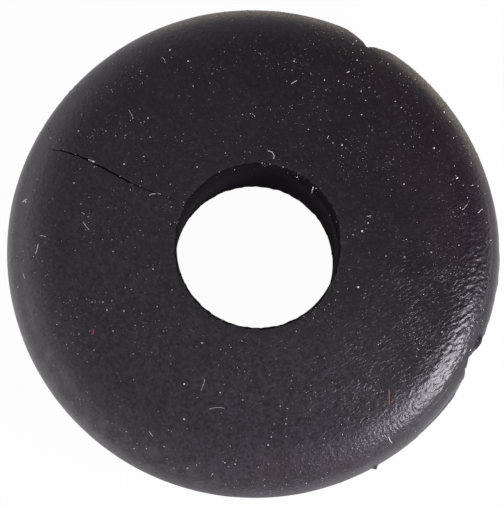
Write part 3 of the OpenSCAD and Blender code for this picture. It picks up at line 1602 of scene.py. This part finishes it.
    def _split(self, tool: GeometryTool, place: Place) -> Sock:
        """Runs a hairline split from the bottom of the notch on to the shoulder.

        Args:
            tool: The tree.
            place: The place on the ring.

        Returns:
            How deep the split is.
        """
        pen = place.pen
        gape = tool.number("Split Gape", self.split_gape)
        inner = self.outer_r - self.notch.depth - self.split_length
        run = pen.clamp((place.radius - inner) / self.split_length)
        turn = place.bearing - math.radians(self.notch.bearing)
        aside = turn * place.radius + self.split_ragged.at(place)
        half = gape * 0.5 * (self.split_tip + run)
        share = pen.math("SQRT", pen.most(1.0 - (aside / half) ** 2.0, 0.0))
        upper = pen.rise(place.height, *(self.mid + foot for foot in self.split_foot))
        return share * pen.rise(run, 0.0, self.split_tip) * upper * self.split_depth

    def _torn(self, tool: GeometryTool, place: Place) -> Sock:
        """Gives how far the rim is pressed inwards where it is worn and torn.

        Args:
            tool: The tree.
            place: The place on the ring.

        Returns:
            How far the rim moves inwards.
        """
        lost = self.chips.at(place) + self.rags.at(place) * self.ragged.at(place)
        for bite in (self.notch, self.tear, *self.wear):
            depth = tool.number(bite.name, bite.depth)
            lost = lost + bite.loss(place, depth, self.outer_r)
        return place.pen.most(place.radius - self.outer_r + lost, 0.0)

    def _levelled(self, tool: GeometryTool, place: Place) -> Sock:
        """Fills the steps beside the bead where years of handling have left it level with the wall.

        Args:
            tool: The tree.
            place: The place on the ring.

        Returns:
            How far the wall moves outwards.
        """
        pen = place.pen
        share = tool.number("Bead Wear", 1.0)
        aside = abs(place.height - self.mid)
        level = self.outer_r - self.bead_h * (aside / self.level_half) ** 2.0
        filled = pen.most(level - place.radius, 0.0) * pen.rise(aside, *self.level_edge)
        outside = pen.rise(place.radius, *(self.wall_r - inset for inset in self.level_inset))
        return filled * outside * self.levelled.at(place) * share

    def _scar_and_shade(self, place: Place, lost: Sock) -> Sock:
        """Gives the share of bare torn rubber, which also paints shade into the tear's hollow.

        Args:
            place: The place on the ring.
            lost: How much of the rim is lost there.

        Returns:
            The share.
        """
        pen = place.pen
        upper = pen.rise(place.height, *(self.mid + foot for foot in self.scar_shade_foot))
        outer = pen.rise(place.radius, *(self.outer_r - depth for depth in self.scar_shade_depth))
        ripped_shade = pen.rise(lost, *self.ripped_shade_loss) * self.ripped_shade.at(place)
        return pen.most(ripped_shade, self.scar_shade.at(place) * outer) * upper

    def _whisker(self, tool: GeometryTool, place: Place) -> Sock:
        """Draws the bead out into one whisker of flash.

        Args:
            tool: The tree.
            place: The place on the ring.

        Returns:
            How far the bead moves outwards.
        """
        pen = place.pen
        length = tool.number("Whisker Length", self.whisker_h)
        aside = abs(place.bearing - math.radians(self.whisker_bearing)) * self.outer_r
        thin = pen.rise(abs(place.height - self.mid), *self.whisker_thin)
        reach = pen.clamp((place.radius - self.wall_r) / self.bead_h)
        return pen.clamp(1.0 - aside / self.whisker_half) * thin * reach * length


@dataclass(frozen=True)
class DustSpecks:
    """Fine dust scattered over the upper side of the ring.

    Dust with a sector keeps to that stretch and comes in between the radii of rim. steep is how far
    upwards a face has to look, and the other pairs limit what differs from grain to grain.
    """

    name: str
    colour: Colour
    dull: Colour
    per_mm2: float
    smallest: float
    largest: float
    seed: int
    sector: Union[Sector, None] = None
    rim: Pair = (14.3, 15.2)
    steep: Pair = (0.1, 0.5)
    drift_least: float = 0.25
    lengths: Pair = (0.8, 1.5)
    widths: Pair = (0.7, 1.1)
    shades: Pair = (0.2, 1.0)
    size_power: float = 3.0
    shade_power: float = 3.5

    def _spread(self, place: Place) -> Sock:
        """Drifts the dust.

        Args:
            place: The place on the ring.

        Returns:
            How thick the dust lies there.
        """
        drifts = Patches(0.5, 3.0, 71.0 + self.seed, 0.45, 0.68, 1.6)
        drift = self.drift_least + drifts.at(place)
        if self.sector is None:
            return drift
        return drift * self.sector.at(place) * place.pen.rise(place.radius, *self.rim)

    def build(self, ring: bpy.types.Object, size: SealingRing) -> bpy.types.Object:
        """Scatters the dust.

        Args:
            ring: The finished ring.
            size: Its sizes.

        Returns:
            The dust as one piece.
        """
        tool = GeometryTool(f"{self.name}_scatter")
        pen = tool.pen
        amount = tool.number("Specks per mm2", self.per_mm2)
        seed = tool.input("Seed", InputKind.COUNT, self.seed)
        largest = tool.number("Largest", self.largest)
        place = Place.of(pen, pen.add("GeometryNodeInputPosition"), size.seam)
        facing = pen.parts(pen.add("GeometryNodeInputNormal"))["Z"]
        upward = pen.rise(facing, *self.steep) * self._spread(place)
        scatter = {"Mesh": tool.base, "Density": amount * upward * PER_M * PER_M, "Seed": seed}
        kind = "GeometryNodeDistributePointsOnFaces"
        points = pen.add(kind, scatter, distribute_method="RANDOM")
        bulk = pen.random(0.0, 1.0, 1) ** self.size_power
        radius = self.smallest + (largest - self.smallest) * bulk
        length, width = radius * pen.random(*self.lengths, 2), radius * pen.random(*self.widths, 3)
        turns = {"Max": (math.tau, math.tau, math.tau), "Seed": 4}
        tumble = pen.add("FunctionNodeRandomValue", turns, data_type="FLOAT_VECTOR")
        placing = {"Scale": pen.vector(length, width, radius), "Rotation": tumble}
        shade = pen.random(*self.shades, 5) ** self.shade_power
        finish = PlainFinish(self.name, self.colour, self.dull)
        tool.end(tool.strewn(points, 1.0, placing, shade), finish.build())
        piece = tool.make(self.name, ring.data.copy())
        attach(piece, BODY)
        return piece


DUST = DustSpecks("dust_specks", (0.60, 0.58, 0.57), (0.04, 0.039, 0.042), 12.0, 0.012, 0.046, 7)
SAND = DustSpecks(
    "rim_sand", (0.52, 0.44, 0.32), (0.10, 0.082, 0.058), 40.0, 0.015, 0.05, 3, Sector(54.0, 48.0, 12.0)
)


@dataclass(frozen=True)
class Fibre:
    """A scrap of lint: the photograph's pixel at its middle, its length, way and bend.

    turn is the way it points, in degrees anticlockwise from the picture's right, and bend is how
    far that way swings round from one end to the other.
    """

    name: str
    pixel: Pair
    length: float
    turn: float
    bend: float
    thick: float
    tint: Tint = Tint.PALE

    def points(self, middle: Vector, steps: int) -> list[Vector]:
        """Lays the fibre out flat.

        Args:
            middle: The point that it is centred on.
            steps: How many straight steps it has.

        Returns:
            The points along it.
        """
        step = self.length / steps
        walk = [Vector((0.0, 0.0, 0.0))]
        for i in range(steps):
            way = math.radians(self.turn + self.bend * ((i + 0.5) / steps - 0.5))
            walk.append(walk[-1] + Vector((math.cos(way), math.sin(way), 0.0)) * step)
        centre = sum(walk, Vector()) / len(walk)
        return [middle + p - centre for p in walk]


@dataclass(frozen=True)
class Lint:
    """The scraps of lint that show in the photograph, laid on the ring's upper side."""

    steps: int = 8
    sides: int = 6
    dull_share: float = 0.6
    thick_name: str = "thick"
    fibres: tuple[Fibre, ...] = (
        Fibre("curl_above_bore", (272, 154), 0.75, -55, -120, 0.045),
        Fibre("dash_above_bore", (294, 82), 0.45, 30, 0, 0.04),
        Fibre("far_left_stroke", (37, 249), 0.65, 76, 15, 0.05),
        Fibre("far_left_tick", (43, 236), 0.4, -12, -50, 0.035),
        Fibre("left_slant", (86, 226), 0.65, -53, 10, 0.028),
        Fibre("upper_left_arc", (131, 114), 0.6, -62, -30, 0.022),
        Fibre("upper_left_hook", (164, 60), 0.45, -60, -70, 0.024),
        Fibre("lower_left_tick", (24, 276), 0.35, -65, 20, 0.05),
        Fibre("low_left_tick", (151, 434), 0.42, -52, 20, 0.028),
        Fibre("low_slant", (203, 385), 0.8, 72, 8, 0.018),
        Fibre("low_flat", (217, 408), 1.0, 3, -40, 0.02),
        Fibre("low_right_tick", (390, 440), 0.45, -62, 25, 0.045),
        Fibre("bore_edge_stroke", (312.5, 190), 0.42, 78, 12, 0.075),
        Fibre("right_dash", (465, 207), 0.5, 50, 10, 0.028),
        Fibre("right_rim_dash", (480, 211), 0.4, 42, 0, 0.045),
        Fibre("crack_fibre", (155, 194), 0.75, 5, -45, 0.035),
        Fibre("crack_sliver", (91.5, 160.6), 0.42, -25, 0, 0.12),
        Fibre("edge_left_tick", (25, 200.5), 0.34, 34, 0, 0.08),
        Fibre("upper_right_tick", (328, 137), 0.2, 60, 0, 0.035),
        Fibre("upper_right_dash", (348, 72), 0.2, 28, 0, 0.06),
        Fibre("right_dash_small", (369, 216), 0.25, 18, 0, 0.03),
        Fibre("orange_thread", (389, 397), 0.98, 90, 6, 0.05, Tint.ORANGE),
        Fibre("red_thread", (92.5, 332), 0.36, 84, 0, 0.2, Tint.RED),
    )

    def build(
        self, ring: bpy.types.Object, size: SealingRing, view: PhotoView
    ) -> Iterator[bpy.types.Object]:
        """Lays the lint on the ring.

        Args:
            ring: The finished ring.
            size: Its sizes.
            view: Where the photograph's pixels point.

        Yields:
            One piece for each tint.
        """
        for tint in Tint:
            name = f"{tint.name.lower()}_lint"
            chosen = [fibre for fibre in self.fibres if fibre.tint is tint]
            dull = tuple(c * self.dull_share for c in tint.value)
            tool = self._tool(ring, view.eye(size.middle), PlainFinish(name, tint.value, dull))
            piece = tool.make(name, self._paths(chosen, size, view))
            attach(piece, BODY)
            yield piece

    def _paths(self, fibres: list[Fibre], size: SealingRing, view: PhotoView) -> bpy.types.Mesh:
        """Draws the fibres' paths in the plane of the upper face.

        Args:
            fibres: The fibres.
            size: The ring's sizes.
            view: Where the photograph's pixels point.

        Returns:
            The paths, which keep each fibre's thickness.
        """
        points: list[Vector] = []
        edges: list[tuple[int, int]] = []
        thick: list[float] = []
        for fibre in fibres:
            middle = view.on_level(fibre.pixel, size.middle, size.thickness)
            path = fibre.points(middle, self.steps)
            edges += [(len(points) + i, len(points) + i + 1) for i in range(self.steps)]
            points += path
            thick += [fibre.thick] * len(path)
        mesh = bpy.data.meshes.new("lint_paths")
        mesh.from_pydata([p * MM for p in points], edges, [])
        mesh.attributes.new(self.thick_name, "FLOAT", "POINT").data.foreach_set("value", thick)
        return mesh

    def _tool(self, ring: bpy.types.Object, eye: Vector, finish: PlainFinish) -> GeometryTool:
        """Makes the tree that lays paths on the ring and gives them their thickness.

        Args:
            ring: The finished ring.
            eye: The camera's place.
            finish: The lint's finish.

        Returns:
            The tree.
        """
        tool = GeometryTool("lint_lay")
        pen = tool.pen
        round_section = {"Resolution": self.sides, "Radius": 0.5 * MM}
        sweep = {
            "Curve": pen.add("GeometryNodeMeshToCurve", {"Mesh": tool.laid(ring, eye)}),
            "Profile Curve": pen.add("GeometryNodeCurvePrimitiveCircle", round_section),
            "Scale": pen.recalled(self.thick_name),
            "Fill Caps": True,
        }
        tube = pen.add("GeometryNodeCurveToMesh", sweep)
        tool.end(pen.stored(tube, SHADE, 1.0, "POINT"), finish.build())
        return tool


@dataclass(frozen=True)
class Crumb:
    """A bright grain of dust: the photograph's pixel at its middle, and its width."""

    x_px: float
    y_px: float
    width: float


@dataclass(frozen=True)
class BrightCrumbs:
    """The brightest grains that show in the photograph, by where they lie.

    radius is a grain's radius for a width of 1, and the shares are its other sides for that width.
    """

    radius: float = 0.36
    lengths: Pair = (0.8, 1.4)
    width_share: float = 0.9
    height_share: float = 0.5
    shades: Pair = (0.55, 1.0)
    width_name: str = "width"
    all_over: tuple[Crumb, ...] = (
        Crumb(188, 61, 0.15), Crumb(170, 50, 0.18), Crumb(193, 86, 0.12), Crumb(124, 164, 0.15),
        Crumb(74, 183, 0.12), Crumb(26, 202, 0.20), Crumb(294, 61, 0.14), Crumb(342, 145, 0.15),
        Crumb(434, 148, 0.16), Crumb(457, 178, 0.20), Crumb(362, 231, 0.20), Crumb(368, 223, 0.16),
        Crumb(358, 287, 0.24), Crumb(442, 332, 0.15), Crumb(18, 287, 0.14), Crumb(124, 311, 0.13),
        Crumb(153, 269, 0.14), Crumb(172, 290, 0.12), Crumb(202, 343, 0.14), Crumb(184, 384, 0.17),
        Crumb(184, 419, 0.16), Crumb(268, 445, 0.14), Crumb(197, 167, 0.15), Crumb(444, 112, 0.15),
    )
    at_notch: tuple[Crumb, ...] = (
        Crumb(356, 41, 0.16), Crumb(353, 44, 0.15), Crumb(368, 47, 0.14), Crumb(361, 50, 0.10),
        Crumb(363, 53, 0.13), Crumb(357, 60, 0.14), Crumb(388, 64, 0.15),
    )
    at_tear: tuple[Crumb, ...] = (Crumb(470, 350, 0.2),)
    at_bore: tuple[Crumb, ...] = (
        Crumb(262, 163, 0.14), Crumb(270, 164, 0.10), Crumb(283, 167, 0.12), Crumb(297, 177, 0.10),
        Crumb(312, 190, 0.10), Crumb(330, 215, 0.11), Crumb(335, 235, 0.10), Crumb(219, 172, 0.12),
    )
    at_crack: tuple[Crumb, ...] = (
        Crumb(120, 176, 0.10), Crumb(140, 186, 0.11), Crumb(168, 197, 0.10),
    )
    at_left: tuple[Crumb, ...] = (
        Crumb(92, 302, 0.12), Crumb(103, 302, 0.12), Crumb(107, 310, 0.12), Crumb(113, 331, 0.14),
        Crumb(79, 334, 0.10), Crumb(94, 350, 0.11),
    )
    at_upper_right: tuple[Crumb, ...] = (
        Crumb(324.5, 80, 0.12), Crumb(326, 90, 0.11), Crumb(338.5, 81, 0.11), Crumb(343.5, 84.5, 0.10),
        Crumb(344.5, 99, 0.12), Crumb(349, 115.5, 0.12), Crumb(361, 91, 0.12), Crumb(369, 87.5, 0.11),
        Crumb(361.5, 114.5, 0.11), Crumb(400, 74, 0.12), Crumb(406, 92, 0.13), Crumb(401.5, 107.5, 0.12),
        Crumb(404, 184, 0.13),
    )
    at_right_rim: tuple[Crumb, ...] = (
        Crumb(433, 130, 0.11), Crumb(453.5, 138, 0.11), Crumb(454.5, 166, 0.12), Crumb(471, 163, 0.11),
        Crumb(472.5, 185, 0.11), Crumb(478, 186, 0.12), Crumb(467.5, 197.5, 0.11),
        Crumb(486, 222.5, 0.12), Crumb(490.5, 240.5, 0.14),
    )
    at_upper_left: tuple[Crumb, ...] = (
        Crumb(140.5, 71, 0.11), Crumb(147, 76, 0.11), Crumb(78.5, 131, 0.11), Crumb(106, 131, 0.11),
        Crumb(148, 118, 0.12),
    )
    at_bottom: tuple[Crumb, ...] = (
        Crumb(220, 392.5, 0.13), Crumb(146.5, 448.5, 0.12), Crumb(134, 448.5, 0.11),
        Crumb(187.5, 468, 0.12), Crumb(196.5, 465, 0.11), Crumb(212.5, 474, 0.13), Crumb(235, 464, 0.12),
    )

    def crumbs(self) -> tuple[Crumb, ...]:
        """Gives all the grains, in the order in which they are listed."""
        upper = self.all_over + self.at_notch + self.at_tear + self.at_bore + self.at_crack
        lower = self.at_left + self.at_upper_right + self.at_right_rim
        return upper + lower + self.at_upper_left + self.at_bottom

    def _spots(self, size: SealingRing, view: PhotoView) -> bpy.types.Mesh:
        """Marks where the grains lie in the plane of the upper face.

        Args:
            size: The ring's sizes.
            view: Where the photograph's pixels point.

        Returns:
            The points, which keep each grain's width.
        """
        crumbs = self.crumbs()
        pixels = [(crumb.x_px, crumb.y_px) for crumb in crumbs]
        spots = [view.on_level(pixel, size.middle, size.thickness) for pixel in pixels]
        mesh = bpy.data.meshes.new("crumb_spots")
        mesh.from_pydata([spot * MM for spot in spots], [], [])
        widths = [crumb.width for crumb in crumbs]
        mesh.attributes.new(self.width_name, "FLOAT", "POINT").data.foreach_set("value", widths)
        return mesh

    def build(self, ring: bpy.types.Object, size: SealingRing, view: PhotoView) -> bpy.types.Object:
        """Drops the grains on to the ring.

        Args:
            ring: The finished ring.
            size: Its sizes.
            view: Where the photograph's pixels point.

        Returns:
            The grains as one piece.
        """
        tool = GeometryTool("crumb_drop")
        pen = tool.pen
        laid = tool.laid(ring, view.eye(size.middle))
        points = pen.add("GeometryNodeMeshToPoints", {"Mesh": laid})
        width = pen.recalled(self.width_name)
        length = width * pen.random(*self.lengths, 1)
        placing = {
            "Scale": pen.vector(length, width * self.width_share, width * self.height_share),
            "Rotation": pen.vector(0.0, 0.0, pen.random(0.0, math.pi, 2)),
        }
        grains = tool.strewn(points, self.radius, placing, pen.random(*self.shades, 3))
        finish = PlainFinish("bright_dust", (0.80, 0.79, 0.78), (0.30, 0.29, 0.28))
        tool.end(grains, finish.build())
        piece = tool.make("bright_crumbs", self._spots(size, view))
        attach(piece, BODY)
        return piece


def report(piece: bpy.types.Object) -> None:
    """Logs a finished piece and its triangles."""
    piece.data.calc_loop_triangles()
    LOG.info("%s: %d triangles", piece.name, len(piece.data.loop_triangles))


def write_sizes() -> None:
    """Gathers the CAD box and the visual model's box side by side; the table is not kept."""
    boxes = {"cad": CAD_BOX, "visual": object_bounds()}
    {name: [list(corner) for corner in box] for name, box in boxes.items()}


def main() -> None:
    """Builds the view, the studio and the ring with what lies on it."""
    logging.basicConfig(level=logging.INFO, format="%(name)s: %(message)s")
    bpy.context.scene.view_settings.view_transform = "Standard"
    size = SealingRing.from_frame()
    view = PhotoView()
    view.build(size.middle)
    Studio().build(size.middle)
    ring = size.build(RubberFinish())
    report(ring)
    for dust in (DUST, SAND):
        report(dust.build(ring, size))
    report(BrightCrumbs().build(ring, size, view))
    for piece in Lint().build(ring, size, view):
        report(piece)
    write_sizes()


if __name__ == "__main__":
    main()
